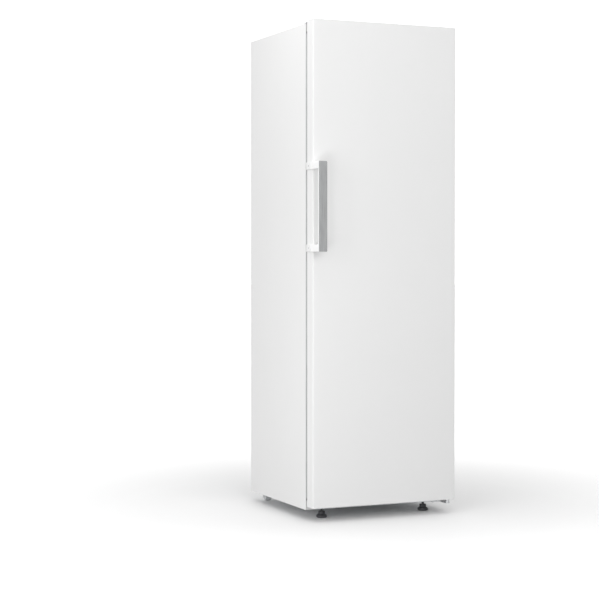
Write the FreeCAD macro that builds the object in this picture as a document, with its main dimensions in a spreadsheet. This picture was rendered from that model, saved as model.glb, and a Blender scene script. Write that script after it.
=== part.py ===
# Upright freezer, free standing, one tall door hinged on the right with a bar
# handle on the left, pull-out drawers on glass shelves, a no-frost evaporator
# behind the back wall of the compartment and the compressor in a bay low at the rear.
#
# Millimetres.  +Z up, the door faces -Y, +X is the hinge side.  The origin is on
# the floor under the middle of the overall box.
import FreeCAD, Part
import os
import math
import Sketcher

V = FreeCAD.Vector
Rot = FreeCAD.Rotation
doc = FreeCAD.newDocument("UprightFreezer")
sheet = doc.addObject("Spreadsheet::Sheet", "Params")

# ---------------------------------------------------------------- dimensions
ROWS = [
    ("cab_w", 595.0, "cabinet and door width"),
    ("cab_front", -222.5, "front plane of the cabinet"),
    ("cab_back", 322.5, "rear edge of the side panels"),
    ("cab_bot", 38.0, "underside of the base pan"),
    ("cab_top", 1841.0, "top of the cabinet"),
    ("sheet_t", 0.8, "steel sheet thickness"),
    ("ret_w", 40.0, "front return of a side panel"),
    ("rear_ret", 14.0, "rear return of a side panel"),
    ("hem_r", 1.5, "outside radius of the folded front edge"),
    ("rail_top", 1790.0, "lower edge of the top front fascia"),
    ("rail_bot", 95.0, "upper edge of the bottom front fascia"),
    ("cav_half", 235.5, "half width of the compartment"),
    ("cav_top", 1776.0, "ceiling of the compartment"),
    ("cav_bot", 110.0, "floor of the compartment"),
    ("cav_back", 255.0, "rear wall of the compartment"),
    ("step_z", 330.0, "floor above the compressor bay"),
    ("step_y", 90.0, "front wall of the step"),
    ("liner_t", 2.0, "liner wall"),
    ("bay_y", 130.0, "front wall of the compressor bay"),
    ("bay_z", 272.0, "roof of the compressor bay"),
    ("door_front", -289.5, "front face of the door"),
    ("door_back", -237.5, "rear plane of the door"),
    ("door_top", 1850.0, "top of the door"),
    ("door_bot", 52.0, "bottom of the door"),
    ("door_r", 3.5, "rounded vertical front edges of the door"),
    ("cap_t", 2.5, "rim of the door end caps"),
    ("cap_h", 28.0, "height of a door end cap"),
    ("panel_half", 250.0, "half width of the raised inner door panel"),
    ("panel_bot", 100.0, "bottom of the raised inner door panel"),
    ("panel_top", 1784.0, "top of the raised inner door panel"),
    ("panel_h", 6.0, "height of the raised inner door panel"),
    ("field_half", 190.0, "half width of a sunk field in the inner door panel"),
    ("field_h", 388.0, "height of a sunk field in the inner door panel"),
    ("field_gap", 16.0, "web between two sunk fields"),
    ("field_d", 3.0, "depth of the sunk fields"),
    ("axis_x", 281.5, "hinge axis"),
    ("axis_y", -259.5, "hinge axis"),
    ("pin_r", 4.0, "hinge pin radius"),
    ("bush_in", 4.05, "hinge bush bore radius"),
    ("bush_out", 7.0, "hinge bush outside radius"),
    ("arm_half", 9.0, "half width of a hinge arm"),
    ("plate_t", 4.0, "hinge bracket plate"),
    ("notch_z", 1840.0, "floor of the hinge notch in the door"),
    ("notch_front", -283.5, "front of the hinge notch in the door"),
    ("notch_half", 13.0, "hinge notch beyond the axis"),
    ("gas_left", 295.0, "door seal from the middle to its free side"),
    ("gas_right", 281.5, "door seal from the middle to its hinge side"),
    ("gas_w", 16.0, "face width of the door seal"),
    ("gas_t", 14.6, "thickness of the door seal"),
    ("gas_top", 1810.0, "outer top of the door seal"),
    ("gas_bot", 74.0, "outer bottom of the door seal"),
    ("hand_z", 1162.0, "middle of the handle"),
    ("hand_len", 329.0, "length of the handle"),
    ("hand_w", 33.0, "width of the grip"),
    ("hand_side", 4.0, "handle arm outside the door's side"),
    ("hand_front", -352.5, "front of the handle"),
    ("hand_t", 9.0, "thickness of the grip with its facing"),
    ("trim_t", 1.2, "thickness of the grip's metal facing"),
    ("arm_h", 27.0, "height of a handle arm"),
    ("arm_w", 14.0, "width of a handle arm in front of the door"),
    ("screw_y", -257.5, "handle screw"),
    ("drawer_pitch", 238.0, "height of one storey"),
    ("drawer_front", -190.0, "front face of the drawers"),
    ("drawer_face", 18.0, "thickness of a drawer front"),
    ("drawer_half", 228.0, "half width of a drawer front"),
    ("tub_half", 222.0, "half width of a drawer tub"),
    ("tub_back", 186.0, "rear of a drawer tub"),
    ("tub_back_low", 70.0, "rear of the lowest drawer tub"),
    ("tub_wall", 2.5, "wall of a drawer tub"),
    ("tub_h", 190.0, "height of a drawer tub"),
    ("face_h", 222.0, "height of a drawer front"),
    ("tub_h_top", 150.0, "height of the top drawer's tub"),
    ("face_h_top", 178.0, "height of the top drawer's front"),
    ("notch_w", 150.0, "width of the grip notch in a drawer front"),
    ("notch_d", 26.0, "depth of the grip notch in a drawer front"),
    ("glass_t", 4.0, "glass shelf"),
    ("glass_half", 234.5, "half width of a glass shelf"),
    ("glass_front", -200.0, "front edge of a glass shelf"),
    ("glass_back", 192.0, "rear edge of a glass shelf"),
    ("foot_x", 215.0, "levelling foot"),
    ("foot_y", -185.0, "levelling foot"),
    ("foot_r", 20.0, "levelling foot pad"),
    ("stem_r", 5.0, "levelling foot stem"),
    ("roll_x", 240.0, "rear roller"),
    ("roll_y", 285.0, "rear roller"),
    ("roll_r", 17.0, "rear roller radius"),
    ("comp_x", -60.0, "compressor axis"),
    ("comp_y", 226.0, "compressor axis"),
    ("gland_x", 220.0, "cord gland"),
    ("gland_z", 75.0, "cord gland"),
    ("fan_z", 900.0, "fan axis"),
    ("house_half", 160.0, "half width of the control housing"),
    ("house_front", -212.0, "front of the control housing"),
    ("house_back", -110.0, "rear of the control housing"),
    ("house_bot", 1734.0, "underside of the control housing"),
    ("dial_x", 100.0, "temperature dial"),
    ("dial_z", 1755.0, "temperature dial"),
]
N_DRAWERS = 7


class Q:
    """A length that carries both its value and its formula in the sheet's names."""

    def __init__(self, v, t=None):
        self.v = float(v)
        self.t = t if t is not None else "(%r)" % float(v)

    @staticmethod
    def of(x):
        return x if isinstance(x, Q) else Q(x)

    def __add__(self, o):
        o = Q.of(o)
        return Q(self.v + o.v, "(%s + %s)" % (self.t, o.t))

    def __radd__(self, o):
        return Q.of(o) + self

    def __sub__(self, o):
        o = Q.of(o)
        return Q(self.v - o.v, "(%s - %s)" % (self.t, o.t))

    def __rsub__(self, o):
        return Q.of(o) - self

    def __mul__(self, o):
        o = Q.of(o)
        return Q(self.v * o.v, "(%s * %s)" % (self.t, o.t))

    __rmul__ = __mul__

    def __truediv__(self, o):
        o = Q.of(o)
        return Q(self.v / o.v, "(%s / %s)" % (self.t, o.t))

    def __neg__(self):
        return Q(0) - self


class Dims:
    pass


p = Dims()
for i, (alias, value, words) in enumerate(ROWS, start=1):
    sheet.set("A%d" % i, words)
    sheet.set("B%d" % i, repr(value))
    sheet.setAlias("B%d" % i, alias)
    setattr(p, alias, Q(value, "Params." + alias))
doc.recompute()

PARTS = []
_count = [0]


def nm(stem):
    _count[0] += 1
    return "%s_%03d" % (stem, _count[0])


def bind(o, prop, q):
    o.setExpression(prop, Q.of(q).t)


def place(o, x, y, z, rot=None):
    if rot is not None:
        o.Placement = FreeCAD.Placement(V(0, 0, 0), rot)
    bind(o, ".Placement.Base.x", x)
    bind(o, ".Placement.Base.y", y)
    bind(o, ".Placement.Base.z", z)
    return o


def part(node, o):
    o.Label = node
    PARTS.append((node, o))
    return o


# -------------------------------------------------- primitives and booleans
def box(x0, x1, y0, y1, z0, z1):
    x0, x1, y0, y1, z0, z1 = (Q.of(k) for k in (x0, x1, y0, y1, z0, z1))
    o = doc.addObject("Part::Box", nm("Box"))
    bind(o, "Length", x1 - x0)
    bind(o, "Width", y1 - y0)
    bind(o, "Height", z1 - z0)
    return place(o, x0, y0, z0)


ALONG = {"z": None, "x": Rot(V(0, 1, 0), 90), "y": Rot(V(1, 0, 0), -90)}


def cyl(r, length, x, y, z, along="z"):
    o = doc.addObject("Part::Cylinder", nm("Cyl"))
    bind(o, "Radius", r)
    bind(o, "Height", length)
    return place(o, x, y, z, ALONG[along])


def cone(r1, r2, length, x, y, z, along="z"):
    o = doc.addObject("Part::Cone", nm("Cone"))
    bind(o, "Radius1", r1)
    bind(o, "Radius2", r2)
    bind(o, "Height", length)
    return place(o, x, y, z, ALONG[along])


def fuse(*shapes):
    o = doc.addObject("Part::MultiFuse", nm("Fuse"))
    o.Shapes = list(shapes)
    o.Refine = True
    return o


def cut(base, *tools):
    o = doc.addObject("Part::Cut", nm("Cut"))
    o.Base = base
    o.Tool = tools[0] if len(tools) == 1 else fuse(*tools)
    o.Refine = True
    return o


def group(*shapes):
    o = doc.addObject("Part::Compound", nm("Group"))
    o.Links = list(shapes)
    return o


def rounded(base, radius, pick):
    """Part::Fillet of the edges of base that pick chooses."""
    doc.recompute()
    o = doc.addObject("Part::Fillet", nm("Fillet"))
    o.Base = base
    r = Q.of(radius).v
    o.Edges = [(i, r, r) for i, e in enumerate(base.Shape.Edges, start=1) if pick(e)]
    return o


def along(e, axis):
    d = e.Vertexes[-1].Point - e.Vertexes[0].Point
    return d.Length > 1e-6 and abs(abs(getattr(d, axis)) - d.Length) < 1e-6


def mid(e):
    return e.CenterOfMass


# -------------------------------------------------- part design
def body(node):
    b = doc.addObject("PartDesign::Body", nm("Body"))
    b.Label = node
    return b


def plane(b, role):
    return [f for f in b.Origin.OriginFeatures if f.Role == role][0]


def sketch(b, role, off=None):
    s = b.newObject("Sketcher::SketchObject", nm("Sketch"))
    s.AttachmentSupport = [(plane(b, role), "")]
    s.MapMode = "FlatFace"
    if off is not None:
        bind(s, ".AttachmentOffset.Base.z", off)
    return s


def fix(s, geo, pos, x, y):
    """Ties one point of the sketch to its two coordinates."""
    for kind, q, axis in (("DistanceX", x, -2), ("DistanceY", y, -1)):
        if abs(q.v) < 1e-9:
            s.addConstraint(Sketcher.Constraint("PointOnObject", geo, pos, axis))
        else:
            c = s.addConstraint(Sketcher.Constraint(kind, -1, 1, geo, pos, q.v))
            s.setExpression("Constraints[%d]" % c, q.t)


def poly(s, pts):
    pts = [(Q.of(x), Q.of(y)) for x, y in pts]
    n, base = len(pts), s.GeometryCount
    for i in range(n):
        (xa, ya), (xb, yb) = pts[i], pts[(i + 1) % n]
        s.addGeometry(Part.LineSegment(V(xa.v, ya.v, 0), V(xb.v, yb.v, 0)), False)
    for i in range(n):
        s.addConstraint(Sketcher.Constraint("Coincident", base + i, 2, base + (i + 1) % n, 1))
    for i, (x, y) in enumerate(pts):
        fix(s, base + i, 1, x, y)


def rect(s, x0, x1, y0, y1):
    poly(s, [(x0, y0), (x1, y0), (x1, y1), (x0, y1)])


def circle(s, x, y, r):
    x, y, r = Q.of(x), Q.of(y), Q.of(r)
    g = s.addGeometry(Part.Circle(V(x.v, y.v, 0), V(0, 0, 1), r.v), False)
    c = s.addConstraint(Sketcher.Constraint("Radius", g, r.v))
    s.setExpression("Constraints[%d]" % c, r.t)
    fix(s, g, 3, x, y)


def pad(b, s, length, back=False):
    o = b.newObject("PartDesign::Pad", nm("Pad"))
    o.Profile = s
    bind(o, "Length", length)
    o.Reversed = back
    doc.recompute()
    return o


def pocket(b, s, length, back=False):
    doc.recompute()
    before = b.Shape.Volume
    o = b.newObject("PartDesign::Pocket", nm("Pocket"))
    o.Profile = s
    bind(o, "Length", length)
    o.Reversed = back
    doc.recompute()
    if not b.Shape.Volume < before - 1e-3:
        raise SystemExit("a pocket of %s cuts nothing" % b.Label)
    return o


def revolve(b, s):
    o = b.newObject("PartDesign::Revolution", nm("Revolution"))
    o.Profile = s
    o.ReferenceAxis = (s, ["V_Axis"])
    o.Angle = 360
    doc.recompute()
    return o


def soften(b, feature, radius, pick):
    names = ["Edge%d" % i for i, e in enumerate(feature.Shape.Edges, start=1) if pick(e)]
    o = b.newObject("PartDesign::Fillet", nm("Round"))
    o.Base = (feature, names)
    bind(o, "Radius", radius)
    doc.recompute()
    return o


def row(b, feature, role_axis, length, count):
    o = b.newObject("PartDesign::LinearPattern", nm("Row"))
    o.Originals = [feature]
    o.Direction = (plane(b, role_axis), [""])
    bind(o, "Length", length)
    o.Occurrences = count
    b.Tip = o
    doc.recompute()
    return o


# -------------------------------------------------- swept tubes (Part functions)
def route(points, radius, turn):
    """A round tube along straight runs joined by tangent arcs of one radius."""
    pts = [V(*q) for q in points]
    edges, start = [], pts[0]
    for a, c, d in zip(pts, pts[1:], pts[2:]):
        u, w = (a - c).normalize(), (d - c).normalize()
        half = u.getAngle(w) / 2
        reach = turn / math.tan(half)
        t1, t2 = c + u * reach, c + w * reach
        bis = (u + w).normalize()
        centre = c + bis * (turn / math.sin(half))
        m = centre - bis * turn
        if (t1 - start).Length > 1e-6:
            edges.append(Part.LineSegment(start, t1).toShape())
        edges.append(Part.Arc(t1, m, t2).toShape())
        start = t2
    edges.append(Part.LineSegment(start, pts[-1]).toShape())
    wire = Part.Wire(edges)
    ring = Part.Wire([Part.Circle(pts[0], pts[1] - pts[0], radius).toShape()])
    tube = wire.makePipeShell([ring], True, True)
    share = tube.Volume / (math.pi * radius**2 * wire.Length)
    if not tube.isValid() or abs(share - 1) > 0.01:
        raise SystemExit("a tube came out wrong, %.3f of its volume" % share)
    return tube


def feature(shape):
    o = doc.addObject("Part::Feature", nm("Tube"))
    o.Shape = shape
    return o


half = p.cab_w / 2
T = p.sheet_t
inner = half - T  # inside face of the side panels

# ================================================================ cabinet shell
# Side panels: one bent sheet each, with a wide return at the front that the door
# seal closes on and a narrow return at the rear.
for side, node in ((-1, "side_panel_left"), (1, "side_panel_right")):
    b = body(node)
    s = sketch(b, "XY_Plane", p.cab_bot)
    x = lambda d: (half - d) * side
    ring = [
        (x(Q(0)), p.cab_front), (x(p.ret_w), p.cab_front),
        (x(p.ret_w), p.cab_front + T), (x(T), p.cab_front + T),
        (x(T), p.cab_back - T), (x(p.rear_ret), p.cab_back - T),
        (x(p.rear_ret), p.cab_back), (x(Q(0)), p.cab_back),
    ]
    poly(s, ring)
    f = pad(b, s, p.cab_top - p.cab_bot)
    edge_x = half.v * side
    soften(b, f, p.hem_r, lambda e: along(e, "z") and abs(mid(e).x - edge_x) < 1e-4)
    part(node, b)

# Top panel with its front fascia, between the side panels.
flange_half = half - p.ret_w
part("top_panel", fuse(
    box(-inner, inner, p.cab_front + T, p.cab_back - T, p.cab_top - T, p.cab_top),
    box(-flange_half, flange_half, p.cab_front, p.cab_front + T, p.rail_top, p.cab_top),
))

# Raised moulding along the front of the top, up to the hinge cover.
trim_top = rounded(
    box(-half + 1.0, 248.0, p.cab_front - 3.5, p.cab_front + 18.5, p.cab_top, p.cab_top + 4.0),
    1.6, lambda e: mid(e).z > p.cab_top.v + 3.9)
part("top_front_trim", trim_top)

# Rear sheet with pressed stiffening beads.
ribs = [box(x0, x0 + 16.0, p.cab_back, p.cab_back + 1.6, p.bay_z + 70.0, p.cab_top - 60.0)
        for x0 in (-198.0, -88.0, 72.0, 182.0)]
part("back_panel", fuse(
    box(-(half - p.rear_ret), half - p.rear_ret, p.cab_back - T, p.cab_back, p.bay_z, p.cab_top), *ribs))

# Base pan under the insulation, with its front fascia and the threaded holes of the feet.
stem_holes = [cyl(p.stem_r + 0.08, 4.0, sx * p.foot_x, p.foot_y, p.cab_bot - 1.0) for sx in (-1, 1)]
part("base_pan", cut(
    fuse(box(-inner, inner, p.cab_front + T, p.bay_y, p.cab_bot, p.cab_bot + T),
         box(-flange_half, flange_half, p.cab_front, p.cab_front + T, p.cab_bot, p.rail_bot)),
    *stem_holes))

# Bent sheet between the insulation and the compressor bay.
b = body("bay_panel")
s = sketch(b, "YZ_Plane", -inner)
poly(s, [(p.bay_y, p.cab_bot), (p.bay_y + T, p.cab_bot), (p.bay_y + T, p.bay_z - T),
         (p.cab_back - T, p.bay_z - T), (p.cab_back - T, p.bay_z), (p.bay_y, p.bay_z)])
pad(b, s, inner * 2)
part("bay_panel", b)

# Tray that carries the compressor and the rollers.
part("compressor_tray", box(-inner, inner, p.bay_y + T, p.cab_back - 2.0, p.cab_bot, p.cab_bot + 2.0))

# Slotted rear cover of the bay.
b = body("bay_cover")
cover_half = half - p.rear_ret - 0.5
s = sketch(b, "XZ_Plane", -p.cab_back)
rect(s, -cover_half, cover_half, p.cab_bot + 4.0, p.bay_z - 1.0)
pad(b, s, 1.2)
s = sketch(b, "XZ_Plane", -p.cab_back)
rect(s, -cover_half + 30.0, -cover_half + 36.0, 150.0, 250.0)
slots = pocket(b, s, 3.0, back=True)
row(b, slots, "X_Axis", 510.0, 31)
s = sketch(b, "XZ_Plane", -p.cab_back)
circle(s, p.gland_x, p.gland_z, 9.0)
pocket(b, s, 3.0, back=True)
b.Tip = b.Group[-1]
part("bay_cover", b)

# ================================================================ liner and insulation
L = p.liner_t
liner_out = fuse(
    box(-p.cav_half - L, p.cav_half + L, p.cab_front, p.cav_back + L, p.step_z - L, p.cav_top + L),
    box(-p.cav_half - L, p.cav_half + L, p.cab_front, p.step_y + L, p.cav_bot - L, p.step_z + 10.0),
    box(-flange_half, flange_half, p.cab_front, p.cab_front + L, p.rail_bot, p.rail_top),
)
liner_in = fuse(
    box(-p.cav_half, p.cav_half, p.cab_front - 5.0, p.cav_back, p.step_z, p.cav_top),
    box(-p.cav_half, p.cav_half, p.cab_front - 5.0, p.step_y, p.cav_bot, p.step_z + 5.0),
)
ledges = []
for k in range(1, N_DRAWERS):
    z = p.cav_bot + p.drawer_pitch * k - p.glass_t
    for sx in (-1, 1):
        a, c = p.cav_half * sx, (p.cav_half - 8.0) * sx
        ledges.append(box(a if sx < 0 else c, c if sx < 0 else a, -205.0, p.glass_back, z - 8.0, z))
part("inner_liner", fuse(cut(liner_out, liner_in), *ledges))

stem_pockets = [cyl(p.stem_r + 1.0, 34.0, sx * p.foot_x, p.foot_y, p.cab_bot) for sx in (-1, 1)]
part("cabinet_insulation", cut(
    box(-inner, inner, p.cab_front + T, p.cab_back - T, p.cab_bot + T, p.cab_top - T),
    box(-p.cav_half - L, p.cav_half + L, p.cab_front - 5.0, p.cav_back + L, p.step_z - L, p.cav_top + L),
    box(-p.cav_half - L, p.cav_half + L, p.cab_front - 5.0, p.step_y + L, p.cav_bot - L, p.step_z + 10.0),
    box(-flange_half, flange_half, p.cab_front - 5.0, p.cab_front + L, p.rail_bot, p.rail_top),
    box(-half - 5.0, half + 5.0, p.bay_y, p.cab_back + 5.0, p.cab_bot - 5.0, p.bay_z),
    *stem_pockets))

# ================================================================ hinges
plate_top = p.cab_top + p.plate_t
top_plate = fuse(
    box(256.0, 294.0, -216.0, -146.0, p.cab_top, plate_top),
    box(p.axis_x - p.arm_half, p.axis_x + p.arm_half, p.axis_y, -210.0, p.cab_top, plate_top),
    cyl(p.arm_half, p.plate_t, p.axis_x, p.axis_y, p.cab_top),
)
top_screw_xy = [(265.0, -200.0), (285.0, -176.0), (265.0, -156.0)]
low_screw_xy = [(250.0, -205.0), (285.0, -180.0), (252.0, -160.0)]
part("hinge_bracket_top", cut(
    top_plate, cyl(p.pin_r, 20.0, p.axis_x, p.axis_y, p.cab_top - 5.0),
    *[cyl(2.6, 20.0, x, y, p.cab_top - 5.0) for x, y in top_screw_xy]))
part("hinge_pin_top", cyl(p.pin_r, 19.0, p.axis_x, p.axis_y, plate_top - 19.0))

low = p.cab_bot - p.plate_t
low_plate = fuse(
    box(240.0, 296.0, -218.0, -150.0, low, p.cab_bot),
    box(p.axis_x - p.arm_half, p.axis_x + p.arm_half, p.axis_y, -210.0, low, p.cab_bot),
    cyl(p.arm_half, p.plate_t, p.axis_x, p.axis_y, low),
)
part("hinge_bracket_bottom", cut(
    low_plate, cyl(p.pin_r, 20.0, p.axis_x, p.axis_y, low - 5.0),
    *[cyl(2.6, 20.0, x, y, low - 5.0) for x, y in low_screw_xy]))

# Lower pin with the collar that carries the door.
b = body("hinge_pin_bottom")
s = sketch(b, "XZ_Plane")
collar = p.door_bot - 0.5
poly(s, [(0.0, low), (p.pin_r, low), (p.pin_r, p.cab_bot), (8.0, p.cab_bot), (8.0, collar),
         (p.pin_r, collar), (p.pin_r, p.door_bot + 18.0), (0.0, p.door_bot + 18.0)])
revolve(b, s)
place(b, p.axis_x, p.axis_y, 0.0)
part("hinge_pin_bottom", b)

screws = []
for x, y in top_screw_xy:
    screws.append(fuse(cyl(2.5, 4.0, x, y, p.cab_top), cyl(4.6, 2.4, x, y, plate_top)))
for x, y in low_screw_xy:
    screws.append(fuse(cyl(2.5, 4.0, x, y, low), cyl(4.6, 2.4, x, y, low - 2.4)))
part("hinge_screws", group(*screws))

# Moulded cover over the upper hinge.
cover = rounded(box(250.0, 297.0, -221.5, -140.0, p.cab_top, p.door_top), 2.2,
                lambda e: mid(e).z > p.door_top.v - 0.1 or along(e, "z"))
part("hinge_cover", cut(
    cover,
    box(252.0, 295.0, -219.5, -142.0, p.cab_top - 1.0, p.door_top - 1.4),
    box(p.axis_x - p.arm_half - 2.0, p.axis_x + p.arm_half + 2.0, -225.0, -215.0, p.cab_top - 1.0, plate_top + 2.0)))

# ================================================================ feet, rollers, spacers
for sx, node in ((-1, "foot_left"), (1, "foot_right")):
    b = body(node)
    s = sketch(b, "XZ_Plane")
    poly(s, [(0.0, 0.0), (p.foot_r - 2.0, 0.0), (p.foot_r, 2.0), (p.foot_r, 9.0), (13.0, 14.0),
             (13.0, 24.0), (p.stem_r, 25.0), (p.stem_r, 64.0), (p.stem_r - 1.0, 65.0), (0.0, 65.0)])
    revolve(b, s)
    place(b, sx * p.foot_x, p.foot_y, 0.0)
    part(node, b)

brackets = []
for sx, node in ((-1, "roller_left"), (1, "roller_right")):
    cx = sx * p.roll_x
    yoke = cut(
        box(cx - 15.0, cx + 15.0, p.roll_y - 17.0, p.roll_y + 17.0, 8.0, p.cab_bot),
        box(cx - 13.0, cx + 13.0, p.roll_y - 20.0, p.roll_y + 20.0, 5.0, p.cab_bot - 2.0),
        cyl(4.0, 60.0, cx - 30.0, p.roll_y, p.roll_r, "x"))
    brackets += [yoke, cyl(4.0, 34.0, cx - 17.0, p.roll_y, p.roll_r, "x")]
    b = body(node)
    s = sketch(b, "XZ_Plane")
    poly(s, [(4.06, -12.0), (p.roll_r - 2.0, -12.0), (p.roll_r, -10.0), (p.roll_r, 10.0),
             (p.roll_r - 2.0, 12.0), (4.06, 12.0)])
    revolve(b, s)
    place(b, cx, p.roll_y, p.roll_r, Rot(V(0, 1, 0), 90))
    part(node, b)
part("roller_brackets", group(*brackets))

part("wall_spacers", group(*[
    cone(24.0, 16.0, 30.0, sx * 236.0, p.cab_back, 1660.0, "y") for sx in (-1, 1)]))

# ================================================================ compressor bay
b = body("compressor_pot")
s = sketch(b, "XZ_Plane")
poly(s, [(0.0, 54.0), (74.0, 54.0), (83.0, 62.0), (86.0, 80.0), (86.0, 132.0), (92.0, 132.0),
         (92.0, 138.0), (86.0, 138.0), (84.0, 176.0), (72.0, 204.0), (42.0, 218.0), (0.0, 221.0)])
f = revolve(b, s)
place(b, p.comp_x, p.comp_y, 0.0)
mount_xy = [(sx * 100.0, sy * 58.0) for sx in (-1, 1) for sy in (-1, 1)]
foot_plate = cut(
    box(p.comp_x - 115.0, p.comp_x + 115.0, p.comp_y - 70.0, p.comp_y + 70.0, 52.0, 55.0),
    *[cyl(6.0, 20.0, p.comp_x + mx, p.comp_y + my, 45.0) for mx, my in mount_xy])
part("compressor", fuse(b, foot_plate))

part("compressor_mounts", group(*[
    fuse(cyl(11.0, 12.0, p.comp_x + mx, p.comp_y + my, p.cab_bot + 2.0),
         cyl(6.0, 3.0, p.comp_x + mx, p.comp_y + my, 52.0),
         cyl(9.0, 4.0, p.comp_x + mx, p.comp_y + my, 55.0)) for mx, my in mount_xy]))

part("start_relay", rounded(
    box(p.comp_x + 93.0, p.comp_x + 135.0, p.comp_y - 30.0, p.comp_y + 22.0, 76.0, 150.0), 4.0,
    lambda e: along(e, "x")))

tray = rounded(box(p.comp_x - 88.0, p.comp_x + 88.0, p.comp_y - 76.0, p.comp_y + 76.0, 223.0, 256.0), 10.0,
               lambda e: along(e, "z"))
hollow = rounded(box(p.comp_x - 86.0, p.comp_x + 86.0, p.comp_y - 74.0, p.comp_y + 74.0, 225.0, 260.0), 8.0,
                 lambda e: along(e, "z"))
part("drip_tray", cut(tray, hollow))

b = body("filter_drier")
s = sketch(b, "XZ_Plane")
poly(s, [(0.0, 90.0), (3.2, 90.0), (9.0, 104.0), (9.0, 176.0), (3.2, 190.0), (0.0, 190.0)])
revolve(b, s)
place(b, 150.0, 250.0, 0.0)
part("filter_drier", b)

roof = (p.bay_z - T).v
part("refrigerant_pipes", group(
    feature(route([(18.8, 263.0, 112.0), (104.0, 263.0, 112.0), (104.0, 292.0, 150.0), (104.0, 292.0, roof)], 3.0, 14.0)),
    feature(route([(25.0, 200.0, 180.0), (96.0, 200.0, 180.0), (96.0, 160.0, 210.0), (96.0, 160.0, roof)], 4.0, 16.0)),
    feature(route([(150.0, 250.0, 90.0), (150.0, 250.0, 60.0), (262.0, 250.0, 60.0), (262.0, 250.0, roof)], 2.5, 14.0)),
    feature(route([(150.0, 250.0, 190.0), (150.0, 250.0, 226.0), (196.0, 230.0, 236.0), (196.0, 230.0, roof)], 1.6, 10.0))))

# Gland for the mains lead in the bay cover.
b = body("cord_gland")
s = sketch(b, "XZ_Plane")
poly(s, [(4.5, -14.0), (9.0, -14.0), (9.0, 0.0), (14.0, 0.0), (14.0, 3.5), (10.0, 5.0), (8.0, 8.0), (4.5, 8.0)])
revolve(b, s)
place(b, p.gland_x, p.cab_back, p.gland_z, Rot(V(1, 0, 0), -90))
part("cord_gland", b)

# Condenser: a tube laid in runs against the inside of each side panel, in the insulation.
runs, gap, tube_r = 8, 50.0, 2.5
coils = []
for sx in (-1, 1):
    xw = sx * (inner.v - tube_r - 0.05)
    pts, z_lo, z_hi = [], 420.0, 1690.0
    for i in range(runs):
        y = -60.0 + gap * i
        ends = (z_lo, z_hi) if i % 2 == 0 else (z_hi, z_lo)
        pts += [(xw, y, ends[0]), (xw, y, ends[1])]
    coils.append(feature(route(pts, tube_r, 24.0)))
part("condenser", group(*coils))

# ================================================================ evaporator side
b = body("evaporator_block")
s = sketch(b, "XY_Plane", 430.0)
rect(s, -190.0, 190.0, 206.0, 250.0)
pad(b, s, 220.0)
s = sketch(b, "XY_Plane", 430.0)
rect(s, -186.0, -178.0, 200.0, 246.0)
slot = pocket(b, s, 220.0, back=True)
row(b, slot, "X_Axis", 364.0, 37)
bends = []
for sx in (-1, 1):
    for k in range(4):
        t = doc.addObject("Part::Torus", nm("Torus"))
        bind(t, "Radius1", 20.0)
        bind(t, "Radius2", 4.0)
        t.Angle3 = 180
        z = 470.0 + 40.0 * k + (20.0 if sx > 0 else 0.0)
        place(t, sx * 190.0, 228.0, z, Rot(V(1, 0, 0), V(0, 0, 1), V(0, -1, 0), "ZXY") if sx > 0
              else Rot(V(1, 0, 0), V(0, 0, 1), V(0, -1, 0), "ZXY"))
        t.Placement = FreeCAD.Placement(t.Placement.Base, Rot(V(1, 0, 0), 90) * Rot(V(0, 0, 1), -90 if sx > 0 else 90))
        bends.append(t)
part("evaporator", group(b, *bends))

part("defrost_heater", fuse(
    cyl(4.0, 400.0, -200.0, 228.0, 404.0, "x"),
    cyl(6.0, 16.0, -208.0, 228.0, 404.0, "x"), cyl(6.0, 16.0, 192.0, 228.0, 404.0, "x")))

# Air wall in front of the evaporator with rows of outlet slots.
b = body("evaporator_cover")
s = sketch(b, "XZ_Plane", -200.0)
rect(s, -p.cav_half + 0.5, p.cav_half - 0.5, p.step_z + 0.5, p.cav_top - 1.0)
pad(b, s, 4.0)
for z0, z1 in ((370.0, 378.0), (760.0, 768.0), (1010.0, 1018.0), (1250.0, 1258.0), (1490.0, 1498.0), (1700.0, 1708.0)):
    s = sketch(b, "XZ_Plane", -200.0)
    rect(s, -180.0, -132.0, z0, z1)
    slot = pocket(b, s, 8.0, back=True)
    row(b, slot, "X_Axis", 312.0, 6)
s = sketch(b, "XZ_Plane", -200.0)
rect(s, -44.0, -38.0, p.fan_z - 44.0, p.fan_z + 44.0)
slot = pocket(b, s, 8.0, back=True)
row(b, slot, "X_Axis", 82.0, 8)
part("evaporator_cover", b)

b = body("fan_motor")
s = sketch(b, "XZ_Plane")
poly(s, [(0.0, 0.0), (2.5, 0.0), (2.5, 23.0), (20.0, 23.0), (23.0, 26.0), (23.0, 46.0), (34.0, 46.0), (34.0, 51.0), (0.0, 51.0)])
revolve(b, s)
place(b, 0.0, 204.0, p.fan_z, Rot(V(1, 0, 0), -90))
part("fan_motor", b)

# Axial fan: a hub with five pitched blades.
b = body("fan_blade")
s = sketch(b, "XY_Plane")
circle(s, 0.0, 0.0, 15.0)
circle(s, 0.0, 0.0, 2.56)
pad(b, s, 18.0)
s = sketch(b, "YZ_Plane", 13.0)
poly(s, [(-15.0, 2.0), (-12.0, 2.0), (15.0, 16.0), (12.0, 16.0)])
blade = pad(b, s, 34.0)
o = b.newObject("PartDesign::PolarPattern", nm("Polar"))
o.Originals = [blade]
o.Axis = (plane(b, "Z_Axis"), [""])
o.Angle = 360
o.Occurrences = 5
b.Tip = o
doc.recompute()
place(b, 0.0, 205.0, p.fan_z, Rot(V(1, 0, 0), -90))
part("fan_blade", b)

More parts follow.
